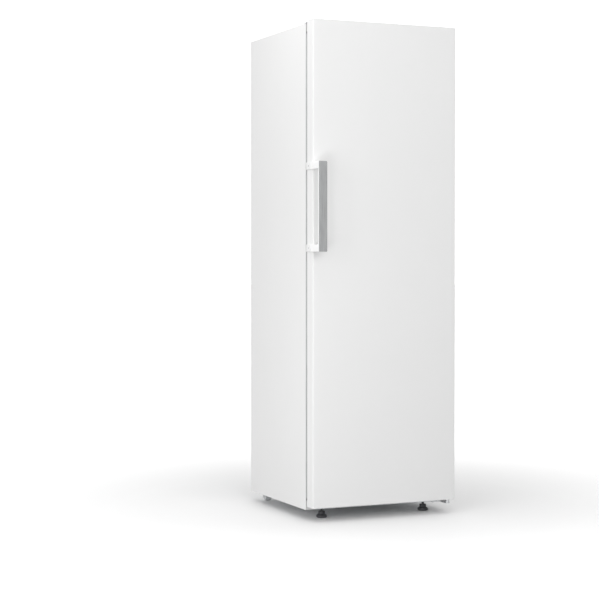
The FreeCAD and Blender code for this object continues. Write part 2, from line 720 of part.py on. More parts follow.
# ================================================================ controls and light
housing = cut(
    rounded(box(-p.house_half, p.house_half, p.house_front, p.house_back, p.house_bot, p.cav_top), 6.0,
            lambda e: (along(e, "x") and mid(e).z < p.house_bot.v + 0.1)
            or (along(e, "z") and mid(e).y < p.house_front.v + 0.1)),
    box(-p.house_half + 2.5, p.house_half - 2.5, p.house_front + 2.5, p.house_back - 2.5, p.house_bot + 2.5, p.cav_top + 5.0),
    cyl(4.06, 12.0, p.dial_x, p.house_front - 3.0, p.dial_z, "y"))
part("control_housing", housing)
part("control_board", box(-20.0, 70.0, -188.0, -128.0, p.house_bot + 8.0, p.house_bot + 9.6))
part("light_lens", rounded(box(-130.0, 40.0, -188.0, -132.0, p.house_bot - 3.0, p.house_bot), 2.0,
                           lambda e: mid(e).z < p.house_bot.v - 2.9))

b = body("temperature_dial")
s = sketch(b, "XZ_Plane")
poly(s, [(0.0, 0.0), (4.0, 0.0), (4.0, 13.0), (17.0, 13.0), (17.0, 16.0), (15.0, 26.0), (0.0, 26.0)])
revolve(b, s)
s = sketch(b, "XY_Plane", 26.0)
rect(s, -1.2, 1.2, 4.0, 14.0)
pocket(b, s, 1.0)
place(b, p.dial_x, p.house_front + 12.4, p.dial_z, Rot(V(1, 0, 0), 90))
part("temperature_dial", b)

part("glass_shelves", group(*[
    box(-p.glass_half, p.glass_half, p.glass_front, p.glass_back,
        p.cav_bot + p.drawer_pitch * k - p.glass_t, p.cav_bot + p.drawer_pitch * k)
    for k in range(1, N_DRAWERS)]))

# ================================================================ drawers
for k in range(N_DRAWERS):
    z0 = p.cav_bot + p.drawer_pitch * k
    last = k == N_DRAWERS - 1
    th, fh = (p.tub_h_top, p.face_h_top) if last else (p.tub_h, p.face_h)
    back = p.tub_back_low if k == 0 else p.tub_back
    face_back = p.drawer_front + p.drawer_face
    W = p.tub_wall
    drawer = cut(
        fuse(box(-p.drawer_half, p.drawer_half, p.drawer_front, face_back, z0 + 3.0, z0 + fh),
             box(-p.tub_half, p.tub_half, p.drawer_front + 4.0, back, z0 + 1.0, z0 + th)),
        box(-p.tub_half + W, p.tub_half - W, face_back - 5.0, back - W, z0 + 1.0 + W, z0 + th + 50.0),
        box(-p.notch_w / 2, p.notch_w / 2, p.drawer_front - 5.0, face_back + 5.0, z0 + fh - p.notch_d, z0 + fh + 5.0),
    )
    part("drawer_%d" % (k + 1), drawer)

# ================================================================ door
notch = lambda: box(p.axis_x - p.notch_half, half + 5.0, p.notch_front, p.door_back + 5.0, p.notch_z, p.door_top + 5.0)
z_lo, z_hi = p.door_bot + p.cap_t, p.door_top - p.cap_t

# Outer skin: front and both sides from one sheet.
b = body("door_sheet")
s = sketch(b, "XY_Plane", z_lo)
poly(s, [(-half, p.door_back), (-half, p.door_front), (half, p.door_front), (half, p.door_back),
         (half - T, p.door_back), (half - T, p.door_front + T), (-half + T, p.door_front + T), (-half + T, p.door_back)])
f = pad(b, s, z_hi - z_lo)
f = soften(b, f, p.door_r, lambda e: along(e, "z") and abs(mid(e).y - p.door_front.v) < 1e-4)
soften(b, f, p.door_r - T, lambda e: along(e, "z") and abs(mid(e).y - (p.door_front + T).v) < 1e-4)
part("door_skin", cut(b, notch()))

# End caps: a rim that closes the skin and a ribbed plug inside it.
def cap(z_rim0, z_rim1, z_plug0, z_plug1):
    rim = rounded(box(-half, half, p.door_front, p.door_back, z_rim0, z_rim1), p.door_r,
                  lambda e: along(e, "z") and mid(e).y < p.door_front.v + 0.1)
    plug = rounded(box(-half + T, half - T, p.door_front + T, p.door_back - L, z_plug0, z_plug1), p.door_r - T,
                   lambda e: along(e, "z") and mid(e).y < p.door_front.v + T.v + 0.1)
    return fuse(rim, plug)


top_lo = p.door_top - p.cap_h
part("door_cap_top", cut(
    cap(z_hi, p.door_top, top_lo, z_hi),
    box(-258.0, 258.0, p.door_front + 4.0, p.door_back - 5.0, top_lo - 1.0, z_hi - 1.0),
    notch(),
    cyl(p.bush_out, 40.0, p.axis_x, p.axis_y, p.notch_z - 16.0)))
bot_hi = p.door_bot + p.cap_h
part("door_cap_bottom", cut(
    cap(p.door_bot, z_lo, z_lo, bot_hi),
    box(-258.0, 258.0, p.door_front + 4.0, p.door_back - 5.0, z_lo + 1.0, bot_hi + 1.0),
    cyl(p.bush_out, 22.0, p.axis_x, p.axis_y, p.door_bot)))
part("hinge_bushes", group(
    cut(cyl(p.bush_out, 16.0, p.axis_x, p.axis_y, p.notch_z - 16.0),
        cyl(p.bush_in, 40.0, p.axis_x, p.axis_y, p.notch_z - 20.0)),
    cut(cyl(p.bush_out, 22.0, p.axis_x, p.axis_y, p.door_bot),
        cyl(p.bush_in, 40.0, p.axis_x, p.axis_y, p.door_bot - 5.0))))

# Inner door liner with its raised panel, four shallow fields sunk into it.
raised_back = p.door_back + p.panel_h


def fields(grow, floor):
    """Blocks that sink the fields, wider by grow and down to the given depth."""
    out = []
    for i in range(4):
        z = p.panel_bot + 40.0 + (p.field_h + p.field_gap) * i
        out.append(box(-p.field_half - grow, p.field_half + grow, floor, raised_back + 5.0, z - grow, z + p.field_h + grow))
    return out


def panel_core(y0):
    """The foam that fills the back of the raised panel."""
    return cut(box(-p.panel_half + L, p.panel_half - L, y0, raised_back - L, p.panel_bot + L, p.panel_top - L),
               *fields(L, raised_back - p.field_d - L))


raised = rounded(box(-p.panel_half, p.panel_half, p.door_back - 1.0, raised_back, p.panel_bot, p.panel_top), 4.0,
                 lambda e: mid(e).y > raised_back.v - 0.1)
part("door_liner", cut(
    fuse(box(-half + T, half - T, p.door_back - L, p.door_back, z_lo, z_hi),
         cut(raised, *fields(Q(0), raised_back - p.field_d))),
    panel_core(p.door_back - 5.0),
    notch()))
# The front corners of the foam follow the inside of the skin.
part("door_insulation", fuse(
    rounded(box(-half + T, half - T, p.door_front + T, p.door_back - L, bot_hi, top_lo), p.door_r - T,
            lambda e: along(e, "z") and mid(e).y < p.door_front.v + T.v + 0.1),
    panel_core(p.door_back - L)))

# Magnetic door seal, a closed frame on the rear of the door.
b = body("door_gasket")
s = sketch(b, "XZ_Plane", -p.door_back)
rect(s, -p.gas_left, p.gas_right, p.gas_bot, p.gas_top)
rect(s, -p.gas_left + p.gas_w, p.gas_right - p.gas_w, p.gas_bot + p.gas_w, p.gas_top - p.gas_w)
pad(b, s, p.gas_t, back=True)
part("door_gasket", b)

# ================================================================ handle
hx0 = -half - p.hand_side
grip_back = p.hand_front + p.hand_t
z_end = p.hand_len / 2
arms, arm_screws = [], []
for sz in (-1, 1):
    zc = p.hand_z + (z_end - p.arm_h / 2) * sz
    za, zb = zc - p.arm_h / 2, zc + p.arm_h / 2
    bar = fuse(box(hx0, -half, grip_back, p.door_back - 0.5, za, zb),
               box(hx0, hx0 + p.arm_w, grip_back, p.door_front - 1.0, za, zb))
    bar = rounded(bar, 1.5, lambda e: abs(mid(e).x - hx0.v) < 1e-4 and along(e, "y"))
    arms.append(cut(bar, cyl(1.95, 20.0, hx0 - 2.0, p.screw_y, zc, "x"),
                    cyl(3.2, 4.2, hx0 - 2.0, p.screw_y, zc, "x")))
    arm_screws.append(fuse(cyl(1.95, p.hand_side, hx0, p.screw_y, zc, "x"),
                           cyl(3.0, 1.8, hx0 + 0.4, p.screw_y, zc, "x")))
part("handle_arms", group(*arms))
part("handle_screws", group(*arm_screws))

b = body("handle_grip")
s = sketch(b, "XY_Plane", p.hand_z - z_end)
rect(s, hx0, hx0 + p.hand_w, p.hand_front + p.trim_t, grip_back)
f = pad(b, s, p.hand_len)
soften(b, f, 3.0, lambda e: along(e, "z") and abs(mid(e).y - grip_back.v) < 1e-4 and mid(e).x > hx0.v + 20)
part("handle_grip", b)

b = body("handle_trim")
s = sketch(b, "XZ_Plane", -p.hand_front)
rect(s, hx0, hx0 + p.hand_w, p.hand_z - z_end, p.hand_z + z_end)
f = pad(b, s, p.trim_t, back=True)
soften(b, f, 3.0, lambda e: along(e, "y") and mid(e).x > hx0.v + 20)
part("handle_trim", b)

# ================================================================ check and write
doc.recompute()
bad = [o.Name + " " + ",".join(o.State) for o in doc.Objects
       if "Invalid" in o.State or "Error" in o.State]
if bad:
    raise SystemExit("failed objects: " + "; ".join(bad[:12]))
names = [n for n, _ in PARTS]
if len(set(names)) != len(names) or len(names) > 60:
    raise SystemExit("node names clash or are too many: %d" % len(names))
for node, o in PARTS:
    if o.Shape.isNull() or not o.Shape.isValid() or not o.Shape.Solids:
        raise SystemExit("the shape of %s is not a valid solid" % node)
os.makedirs("parts", exist_ok=True)
for old in os.listdir("parts"):
    if old.endswith(".step") and old[:-5] not in names:
        os.remove(os.path.join("parts", old))
for node, o in PARTS:
    o.Shape.exportStep("parts/%s.step" % node)
print("wrote %d parts, %d solids" % (len(PARTS), sum(len(o.Shape.Solids) for _, o in PARTS)))
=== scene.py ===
import math

import bmesh
import bpy
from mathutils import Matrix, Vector


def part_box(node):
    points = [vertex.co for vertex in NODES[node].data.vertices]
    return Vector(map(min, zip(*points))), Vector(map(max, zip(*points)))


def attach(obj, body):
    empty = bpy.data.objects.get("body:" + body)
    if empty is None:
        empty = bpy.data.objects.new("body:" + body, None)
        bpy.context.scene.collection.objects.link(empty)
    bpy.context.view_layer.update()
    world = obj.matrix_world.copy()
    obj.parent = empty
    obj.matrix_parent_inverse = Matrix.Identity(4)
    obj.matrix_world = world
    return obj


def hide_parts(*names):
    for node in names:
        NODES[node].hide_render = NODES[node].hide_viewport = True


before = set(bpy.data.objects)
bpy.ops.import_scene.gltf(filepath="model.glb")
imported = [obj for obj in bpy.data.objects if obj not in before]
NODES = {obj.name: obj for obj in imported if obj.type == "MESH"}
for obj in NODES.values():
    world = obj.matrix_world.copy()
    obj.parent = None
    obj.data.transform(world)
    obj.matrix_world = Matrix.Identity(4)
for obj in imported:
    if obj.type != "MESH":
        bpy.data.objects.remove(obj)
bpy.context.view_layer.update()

MM = 0.001


# ============================================================ materials
class Mat:
    """A node material whose pattern sits in the part's own metres."""

    def __init__(self, name, color, rough=0.4, metallic=0.0, **sockets):
        self.m = bpy.data.materials.new(name)
        self.m.use_nodes = True
        self.t = self.m.node_tree
        self.b = self.t.nodes["Principled BSDF"]
        self.color = tuple(color)
        self.b.inputs["Base Color"].default_value = (*color, 1.0)
        self.b.inputs["Roughness"].default_value = rough
        self.b.inputs["Metallic"].default_value = metallic
        for key, value in sockets.items():
            self.b.inputs[key.replace("_", " ")].default_value = value
        self.coord = self.t.nodes.new("ShaderNodeTexCoord").outputs["Object"]

    def node(self, kind, **props):
        n = self.t.nodes.new(kind)
        for k, v in props.items():
            setattr(n, k, v)
        return n

    def link(self, a, b):
        self.t.links.new(a, b)

    def noise(self, scale, detail=3.0, rough=0.5, stretch=None, offset=None):
        src = self.coord
        if stretch is not None or offset is not None:
            mp = self.node("ShaderNodeMapping")
            if stretch is not None:
                mp.inputs["Scale"].default_value = stretch
            if offset is not None:
                mp.inputs["Location"].default_value = offset
            self.link(src, mp.inputs["Vector"])
            src = mp.outputs["Vector"]
        n = self.node("ShaderNodeTexNoise")
        n.inputs["Scale"].default_value = scale
        n.inputs["Detail"].default_value = detail
        n.inputs["Roughness"].default_value = rough
        self.link(src, n.inputs["Vector"])
        return n.outputs["Fac"]

    def voronoi(self, scale, feature="F1"):
        n = self.node("ShaderNodeTexVoronoi")
        n.feature = feature
        n.inputs["Scale"].default_value = scale
        self.link(self.coord, n.inputs["Vector"])
        return n

    def ramp(self, fac, stops):
        r = self.node("ShaderNodeValToRGB")
        el = r.color_ramp.elements
        while len(el) < len(stops):
            el.new(0.5)
        for e, (pos, col) in zip(el, stops):
            e.position = pos
            e.color = (*col, 1.0) if len(col) == 3 else col
        self.link(fac, r.inputs["Fac"])
        return r.outputs["Color"]

    def remap(self, fac, lo, hi, a=0.3, b=0.7):
        r = self.node("ShaderNodeMapRange")
        r.inputs["From Min"].default_value = a
        r.inputs["From Max"].default_value = b
        r.inputs["To Min"].default_value = lo
        r.inputs["To Max"].default_value = hi
        self.link(fac, r.inputs["Value"])
        return r.outputs["Result"]

    def mix(self, fac, a, b, mode="MIX"):
        n = self.node("ShaderNodeMix")
        n.data_type = "RGBA"
        n.blend_type = mode
        for value, sock in ((fac, n.inputs[0]), (a, n.inputs[6]), (b, n.inputs[7])):
            if hasattr(value, "links") or hasattr(value, "is_linked"):
                self.link(value, sock)
            elif isinstance(value, (int, float)):
                sock.default_value = value
            else:
                sock.default_value = (*value, 1.0)
        return n.outputs[2]

    def tint(self, fac, spread, a=0.3, b=0.7):
        """Base colour that wanders a little, from darker to lighter."""
        lo = tuple(c * (1 - spread) for c in self.color)
        hi = tuple(min(1.0, c * (1 + spread)) for c in self.color)
        out = self.ramp(fac, [(a, lo), (b, hi)])
        self.link(out, self.b.inputs["Base Color"])
        return out

    def base(self, out):
        self.link(out, self.b.inputs["Base Color"])

    def rough(self, fac, lo, hi, a=0.3, b=0.7):
        self.link(self.remap(fac, lo, hi, a, b), self.b.inputs["Roughness"])

    def bump(self, height, distance, strength=1.0, chain=None):
        n = self.node("ShaderNodeBump")
        n.inputs["Strength"].default_value = strength
        n.inputs["Distance"].default_value = distance
        self.link(height, n.inputs["Height"])
        if chain is not None:
            self.link(chain, n.inputs["Normal"])
        self.link(n.outputs["Normal"], self.b.inputs["Normal"])
        return n.outputs["Normal"]

    def axis(self, name):
        s = self.node("ShaderNodeSeparateXYZ")
        self.link(self.coord, s.inputs["Vector"])
        return s.outputs[name]

    def math(self, op, a, b=0.0):
        n = self.node("ShaderNodeMath", operation=op)
        for v, s in ((a, n.inputs[0]), (b, n.inputs[1])):
            if isinstance(v, (int, float)):
                s.default_value = v
            else:
                self.link(v, s)
        return n.outputs[0]


def enamel(name, color, rough):
    """Stove-enamelled sheet: nearly even white, faint mottling, fine orange peel."""
    k = Mat(name, color, rough)
    wide = k.noise(2.2, 3.0, 0.55)
    fine = k.noise(85.0, 2.0, 0.5)
    k.base(k.mix(k.remap(fine, 0.0, 0.35), k.ramp(wide, [
        (0.30, tuple(c * 0.988 for c in color)), (0.72, tuple(min(1, c * 1.008) for c in color))]),
        tuple(c * 0.985 for c in color)))
    k.rough(k.noise(30.0, 2.0), rough - 0.04, rough + 0.05)
    sheet = k.bump(k.noise(5.0, 1.0), 0.0004, 0.25)
    k.bump(k.noise(620.0, 2.0, 0.6), 0.00006, 0.5, sheet)
    return k.m


def moulded(name, color, rough, grain=900.0, depth=0.00008, spread=0.018, vary=0.06, **sockets):
    """Injection-moulded plastic with a fine spark-eroded grain."""
    k = Mat(name, color, rough, **sockets)
    k.tint(k.noise(14.0, 3.0, 0.6), spread)
    k.rough(k.noise(60.0, 2.0), rough - vary, rough + vary)
    k.bump(k.noise(grain, 3.0, 0.6), depth, 0.6)
    return k.m


M = {}
M["enamel"] = enamel("enamel_white", (0.872, 0.873, 0.871), 0.34)
M["side"] = enamel("enamel_side", (0.872, 0.872, 0.870), 0.38)
# Painted shade: a darker copy of the white enamel for the top panel, toning down the light that falls on its upper
# face.
M["top"] = enamel("enamel_top_shaded", (0.770, 0.772, 0.771), 0.40)
# Painted shade: a greyer copy of the white enamel, for the outer strip of the front returns where the door gap lies in
# shade.
M["frame"] = enamel("enamel_gap_shade", (0.70, 0.702, 0.703), 0.46)
M["plastic"] = moulded("plastic_white", (0.868, 0.870, 0.868), 0.40)
M["trim"] = moulded("plastic_grey", (0.50, 0.51, 0.52), 0.46)
M["liner"] = moulded("liner_sheet", (0.865, 0.880, 0.890), 0.30, grain=1300.0, depth=0.000012, spread=0.006, vary=0.012)
# Painted shade: a darker copy of the liner plastic for the door's inner panel, which the front left light would
# otherwise wash out.
M["door_liner"] = moulded("door_liner_shaded", (0.690, 0.702, 0.710), 0.32, grain=1300.0, depth=0.000012, spread=0.006, vary=0.012)
M["dark"] = moulded("plastic_dark", (0.045, 0.046, 0.050), 0.52, spread=0.12)
M["rubber"] = moulded("rubber_black", (0.028, 0.028, 0.028), 0.72, grain=420.0, depth=0.00018, spread=0.2)
M["dial"] = moulded("dial_grey", (0.42, 0.44, 0.46), 0.42)
M["fan"] = moulded("fan_white", (0.80, 0.81, 0.81), 0.42)
M["tray"] = moulded("tray_plastic", (0.55, 0.57, 0.58), 0.5)


def handle_white():
    """Glossy white plastic, with painted shade: a duller white on the screw plates at the door's side."""
    k = Mat("handle_white", (0.955, 0.956, 0.956), 0.32)
    # Painted shade: the plates behind this mask get a duller white, standing in for the shading of their angled faces.
    plate = k.remap(k.axis("Y"), 0.0, 1.0, -0.2758, -0.2748)
    cloud = k.ramp(k.noise(14.0, 3.0, 0.6), [(0.3, (0.950, 0.952, 0.952)), (0.7, (0.962, 0.964, 0.964))])
    k.base(k.mix(plate, cloud, (0.865, 0.867, 0.868)))
    k.rough(k.noise(60.0, 2.0), 0.27, 0.40)
    k.bump(k.noise(900.0, 3.0, 0.6), 0.00005, 0.5)
    return k.m


M["arm"] = handle_white()


def seal():
    """Grey sealing strip, mitred at its four corners, with painted shade darkening each corner."""
    k = Mat("seal_grey", (0.455, 0.463, 0.470), 0.62, Specular_IOR_Level=0.35)
    lo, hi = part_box("door_gasket")
    body = k.tint(k.noise(20.0, 4.0, 0.6), 0.045)
    # Painted shade, not a weld: this mask darkens the seal near each of its four corners.
    weld = None
    for name, a, b in (("X", lo.x, hi.x), ("Z", lo.z, hi.z)):
        off = k.math("ABSOLUTE", k.math("SUBTRACT", k.axis(name), (a + b) / 2))
        near = k.remap(off, 0.0, 1.0, (b - a) / 2 - 0.0085, (b - a) / 2 - 0.0055)
        weld = near if weld is None else k.math("MULTIPLY", weld, near)
    k.base(k.mix(weld, body, (0.20, 0.205, 0.21)))
    k.rough(k.noise(90.0, 3.0), 0.55, 0.72)
    k.bump(k.noise(500.0, 3.0, 0.6), 0.00012, 0.5)
    return k.m


M["seal"] = seal()


def brushed():
    """Aluminium facing brushed along its length: long fine streaks."""
    k = Mat("handle_brushed", (0.40, 0.405, 0.41), 0.38, 1.0)
    coarse = k.noise(1.0, 4.0, 0.65, stretch=(420.0, 420.0, 9.0))
    fine = k.noise(1.0, 5.0, 0.7, stretch=(2600.0, 2600.0, 22.0), offset=(3.1, 1.7, 0.4))
    both = k.node("ShaderNodeMath", operation="ADD")
    k.link(coarse, both.inputs[0])
    k.link(fine, both.inputs[1])
    col = k.ramp(k.remap(both.outputs[0], 0.0, 1.0, 0.62, 1.38), [
        (0.0, (0.220, 0.224, 0.228)), (0.45, (0.324, 0.329, 0.333)), (1.0, (0.468, 0.473, 0.476))])
    k.base(col)
    k.rough(fine, 0.33, 0.50)
    k.bump(both.outputs[0], 0.00004, 0.55)
    return k.m


M["brushed"] = brushed()


def zinc(name, color, rough):
    """Zinc-plated steel: soft cloudy sheen with faint scratches."""
    k = Mat(name, color, rough, 1.0)
    cloud = k.noise(48.0, 5.0, 0.65)
    k.tint(cloud, 0.16)
    k.rough(k.noise(180.0, 3.0), rough - 0.08, rough + 0.12)
    k.bump(k.noise(1.0, 3.0, stretch=(900.0, 120.0, 900.0)), 0.00004, 0.5)
    return k.m


M["zinc"] = zinc("zinc_steel", (0.62, 0.63, 0.64), 0.34)
M["screw"] = zinc("screw_steel", (0.50, 0.51, 0.52), 0.40)


def galvanised(name, color, rough):
    """Hot-dip sheet with its crystal spangle."""
    k = Mat(name, color, rough, 0.85)
    spangle = k.voronoi(95.0)
    cells = k.node("ShaderNodeSeparateColor")
    k.link(spangle.outputs["Color"], cells.inputs["Color"])
    tone = k.ramp(cells.outputs["Red"], [
        (0.0, tuple(c * 0.86 for c in color)), (1.0, tuple(min(1, c * 1.10) for c in color))])
    k.base(k.mix(k.remap(k.noise(7.0, 4.0), 0.0, 0.5), tone, tuple(c * 0.94 for c in color)))
    k.rough(cells.outputs["Green"], rough - 0.07, rough + 0.10, 0.0, 1.0)
    k.bump(k.noise(140.0, 3.0), 0.00008, 0.4)
    return k.m


M["galv"] = galvanised("galvanised_sheet", (0.60, 0.62, 0.635), 0.42)


def rear_sheet():
    """Rear sheet: pale grey coated steel with a fine rolled grain, dustier towards the foot."""
    k = Mat("rear_sheet", (0.60, 0.61, 0.615), 0.5)
    dust = k.math("MULTIPLY", k.remap(k.axis("Z"), 1.0, 0.0, 0.3, 1.1), k.remap(k.noise(26.0, 5.0, 0.65), 0.0, 0.28))
    grain = k.ramp(k.noise(1.0, 4.0, 0.6, stretch=(700.0, 700.0, 24.0)), [
        (0.3, (0.585, 0.595, 0.600)), (0.7, (0.612, 0.622, 0.627))])
    k.base(k.mix(dust, grain, (0.50, 0.49, 0.47)))
    k.rough(k.noise(70.0, 3.0), 0.44, 0.54)
    k.bump(k.noise(900.0, 2.0), 0.00003, 0.5)
    return k.m


M["rear"] = rear_sheet()


def foam():
    k = Mat("rigid_foam", (0.86, 0.74, 0.46), 0.85)
    cell = k.voronoi(420.0)
    k.tint(k.noise(12.0, 5.0, 0.6), 0.09)
    k.bump(cell.outputs["Distance"], 0.0005, 0.6)
    return k.m


M["foam"] = foam()


def black_enamel():
    k = Mat("black_enamel", (0.018, 0.018, 0.020), 0.30, Coat_Weight=0.25, Coat_Roughness=0.15)
    k.tint(k.noise(24.0, 4.0), 0.35)
    k.rough(k.noise(110.0, 4.0), 0.24, 0.46)
    k.bump(k.noise(260.0, 2.0), 0.00012, 0.5)
    return k.m


M["black"] = black_enamel()


def copper():
    k = Mat("copper_tube", (0.72, 0.34, 0.19), 0.32, 1.0)
    age = k.noise(38.0, 6.0, 0.68)
    k.base(k.ramp(age, [(0.30, (0.34, 0.15, 0.085)), (0.55, (0.68, 0.33, 0.19)), (0.75, (0.80, 0.42, 0.26))]))
    k.rough(age, 0.46, 0.24)
    k.bump(k.noise(300.0, 3.0), 0.00006, 0.4)
    return k.m


M["copper"] = copper()


def fins():
    k = Mat("fin_aluminium", (0.72, 0.73, 0.74), 0.38, 1.0)
    k.tint(k.noise(30.0, 4.0), 0.10)
    k.rough(k.noise(90.0, 3.0), 0.30, 0.52)
    k.bump(k.noise(1.0, 3.0, stretch=(60.0, 700.0, 700.0)), 0.0001, 0.4)
    return k.m


M["fins"] = fins()


def clear(name, color, alpha, rough):
    """Clear moulding: faint flow marks, soft gloss."""
    k = Mat(name, color, rough, Alpha=alpha, IOR=1.49)
    k.tint(k.noise(6.0, 3.0), 0.025)
    k.rough(k.noise(26.0, 3.0), rough - 0.03, rough + 0.06)
    k.bump(k.noise(8.0, 2.0), 0.0006, 0.25)
    return k.m


M["tub"] = clear("drawer_clear", (0.80, 0.88, 0.93), 0.34, 0.12)
M["face"] = clear("drawer_face", (0.84, 0.90, 0.94), 0.52, 0.18)
M["lip"] = clear("drawer_lip", (0.90, 0.93, 0.95), 0.86, 0.26)


def glass():
    """Shelf glass: pale body, greener and denser where the front edge shows."""
    k = Mat("shelf_glass", (0.72, 0.86, 0.82), 0.05, Alpha=0.30, IOR=1.52)
    y = k.axis("Y")
    edge = k.remap(y, 1.0, 0.0, -0.2000, -0.1975)
    k.base(k.mix(edge, (0.78, 0.89, 0.87), (0.30, 0.62, 0.52)))
    k.rough(k.noise(18.0, 3.0), 0.03, 0.09)
    k.bump(k.noise(4.0, 1.0), 0.0002, 0.2)
    return k.m


M["glass"] = glass()


def lens():
    k = Mat("light_lens", (0.93, 0.94, 0.93), 0.5, Emission_Strength=0.9)
    k.b.inputs["Emission Color"].default_value = (0.95, 0.98, 1.0, 1.0)
    k.tint(k.noise(30.0, 2.0), 0.02)
    k.bump(k.voronoi(260.0).outputs["Distance"], 0.0004, 0.5)
    return k.m


M["lens"] = lens()


def board():
    k = Mat("circuit_board", (0.03, 0.16, 0.07), 0.35)
    v = k.voronoi(160.0)
    k.base(k.mix(k.remap(v.outputs["Distance"], 0.0, 1.0, 0.2, 0.5), (0.03, 0.16, 0.07), (0.06, 0.26, 0.11)))
    k.rough(k.noise(60.0), 0.28, 0.45)
    return k.m


M["board"] = board()


# ============================================================ geometry helpers
def link(o):
    bpy.context.scene.collection.objects.link(o)
    return o


def smooth(me, angle=32.0):
    """Smooth shading, with creases at sharp angles and along open borders."""
    uses = {}
    for f in me.polygons:
        f.use_smooth = True
        for k in f.edge_keys:
            uses[k] = uses.get(k, 0) + 1
    me.set_sharp_from_angle(angle=math.radians(angle))
    for e in me.edges:
        if uses.get(tuple(sorted(e.vertices)), 0) < 2:
            e.use_edge_sharp = True


def piece(bm, name, mats, body, stands_for=(), angle=32.0):
    """Makes the mesh an object of the part that rides on one body."""
    me = bpy.data.meshes.new(name)
    bmesh.ops.remove_doubles(bm, verts=bm.verts, dist=1e-7)
    bm.to_mesh(me)
    bm.free()
    o = link(bpy.data.objects.new(name, me))
    for m in mats if isinstance(mats, (list, tuple)) else [mats]:
        me.materials.append(m)
    smooth(me, angle)
    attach(o, body)
    if stands_for:
        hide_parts(*stands_for)
    return o


def bevel_mod(o, width, segments=3, angle=30.0):
    b = o.modifiers.new("edges", "BEVEL")
    b.width = width
    b.segments = segments
    b.limit_method = "ANGLE"
    b.angle_limit = math.radians(angle)
    b.harden_normals = True
    b.use_clamp_overlap = True
    return b


def solidify(o, t, offset=-1.0):
    s = o.modifiers.new("wall", "SOLIDIFY")
    s.thickness = t
    s.offset = offset
    s.use_even_offset = True
    s.use_quality_normals = True
    return s


def polish(node, mat, width=0.6, segments=2, angle=28.0):
    """A carried-over node: its own material, coplanar triangles merged, edges eased."""
    o = NODES[node]
    me = o.data
    for a in [a.name for a in me.attributes if a.name in ("custom_normal", "sharp_edge", "sharp_face")]:
        me.attributes.remove(me.attributes[a])
    me.materials.clear()
    me.materials.append(mat)
    for f in me.polygons:
        f.use_smooth = True
    w = o.modifiers.new("weld", "WELD")
    w.merge_threshold = 2e-6
    d = o.modifiers.new("planes", "DECIMATE")
    d.decimate_type = "DISSOLVE"
    d.angle_limit = math.radians(0.6)
    if width:
        bevel_mod(o, width * MM, segments, angle)
    else:
        e = o.modifiers.new("split", "EDGE_SPLIT")
        e.split_angle = math.radians(angle)
    return o


def add_box(bm, lo, hi, r=0.0, seg=3, mat=0):
    """A closed box with eased edges, as part of a mesh."""
    lo, hi = Vector(lo) * MM, Vector(hi) * MM
    c, s = (lo + hi) / 2, hi - lo
    got = bmesh.ops.create_cube(bm, size=1.0)
    vs = got["verts"]
    for v in vs:
        v.co = Vector((c.x + v.co.x * s.x, c.y + v.co.y * s.y, c.z + v.co.z * s.z))
    faces = list({f for v in vs for f in v.link_faces})
    for f in faces:
        f.material_index = mat
    if r:
        edges = list({e for v in vs for e in v.link_edges})
        bmesh.ops.bevel(bm, geom=edges, offset=r * MM, offset_type="OFFSET", segments=seg,
                        profile=0.5, affect="EDGES", clamp_overlap=True, material=mat)


def arc(cx, cy, r, a0, a1, n):
    """Points of an arc, in degrees."""
    out = []
    for i in range(n + 1):
        a = math.radians(a0 + (a1 - a0) * i / n)
        out.append((cx + r * math.cos(a), cy + r * math.sin(a)))
    return out


def sheet_up(bm, path, levels, skip=None, mat=0):
    """An open sheet that follows a path in plan, over rising levels."""
    rows = [[bm.verts.new((x * MM, y * MM, z * MM)) for x, y in path] for z in levels]
    for j in range(len(levels) - 1):
        for i in range(len(path) - 1):
            if skip and skip(i, j):
                continue
            f = bm.faces.new((rows[j][i], rows[j][i + 1], rows[j + 1][i + 1], rows[j + 1][i]))
            f.material_index = mat
    loose = [v for v in bm.verts if not v.link_faces]
    bmesh.ops.delete(bm, geom=loose, context="VERTS")


def loft(bm, loops, close_first=False, close_last=False, mat=0):
    """Joins rings of equal count into a skin."""
    rings = [[bm.verts.new(Vector(q) * MM) for q in ring] for ring in loops]
    n = len(rings[0])
    for a, b in zip(rings, rings[1:]):
        for i in range(n):
            f = bm.faces.new((a[i], a[(i + 1) % n], b[(i + 1) % n], b[i]))
            f.material_index = mat
    if close_first:
        bm.faces.new(list(reversed(rings[0]))).material_index = mat
    if close_last:
        bm.faces.new(rings[-1]).material_index = mat
    return rings


def rounded_rect(x0, x1, y0, y1, r, n=6):
    """Corner-rounded rectangle, anticlockwise in plan."""
    return (arc(x1 - r, y0 + r, r, -90, 0, n) + arc(x1 - r, y1 - r, r, 0, 90, n)
            + arc(x0 + r, y1 - r, r, 90, 180, n) + arc(x0 + r, y0 + r, r, 180, 270, n))


def spread(lo, hi, step, marks=(), near=14.0, fine=2.0):
    """Grid lines from lo to hi: wide steps, fine ones near the marks."""
    out = {lo, hi}
    k = lo
    while k < hi:
        out.add(k)
        k += step
    for m in marks:
        k = m - near
        while k <= m + near + 1e-9:
            if lo < k < hi:
                out.add(k)
            k += fine
    vals = sorted(out)
    kept = [vals[0]]
    for v in vals[1:]:
        if v - kept[-1] > fine * 0.45:
            kept.append(v)
    kept[-1] = hi
    return kept


def ease(t):
    t = max(0.0, min(1.0, t))
    return t * t * (3 - 2 * t)


def rr_dist(x, z, cx, cz, hx, hz, r):
    """Signed distance to a rounded rectangle, negative inside."""
    qx, qz = abs(x - cx) - hx + r, abs(z - cz) - hz + r
    return math.hypot(max(qx, 0), max(qz, 0)) + min(max(qx, qz), 0) - r


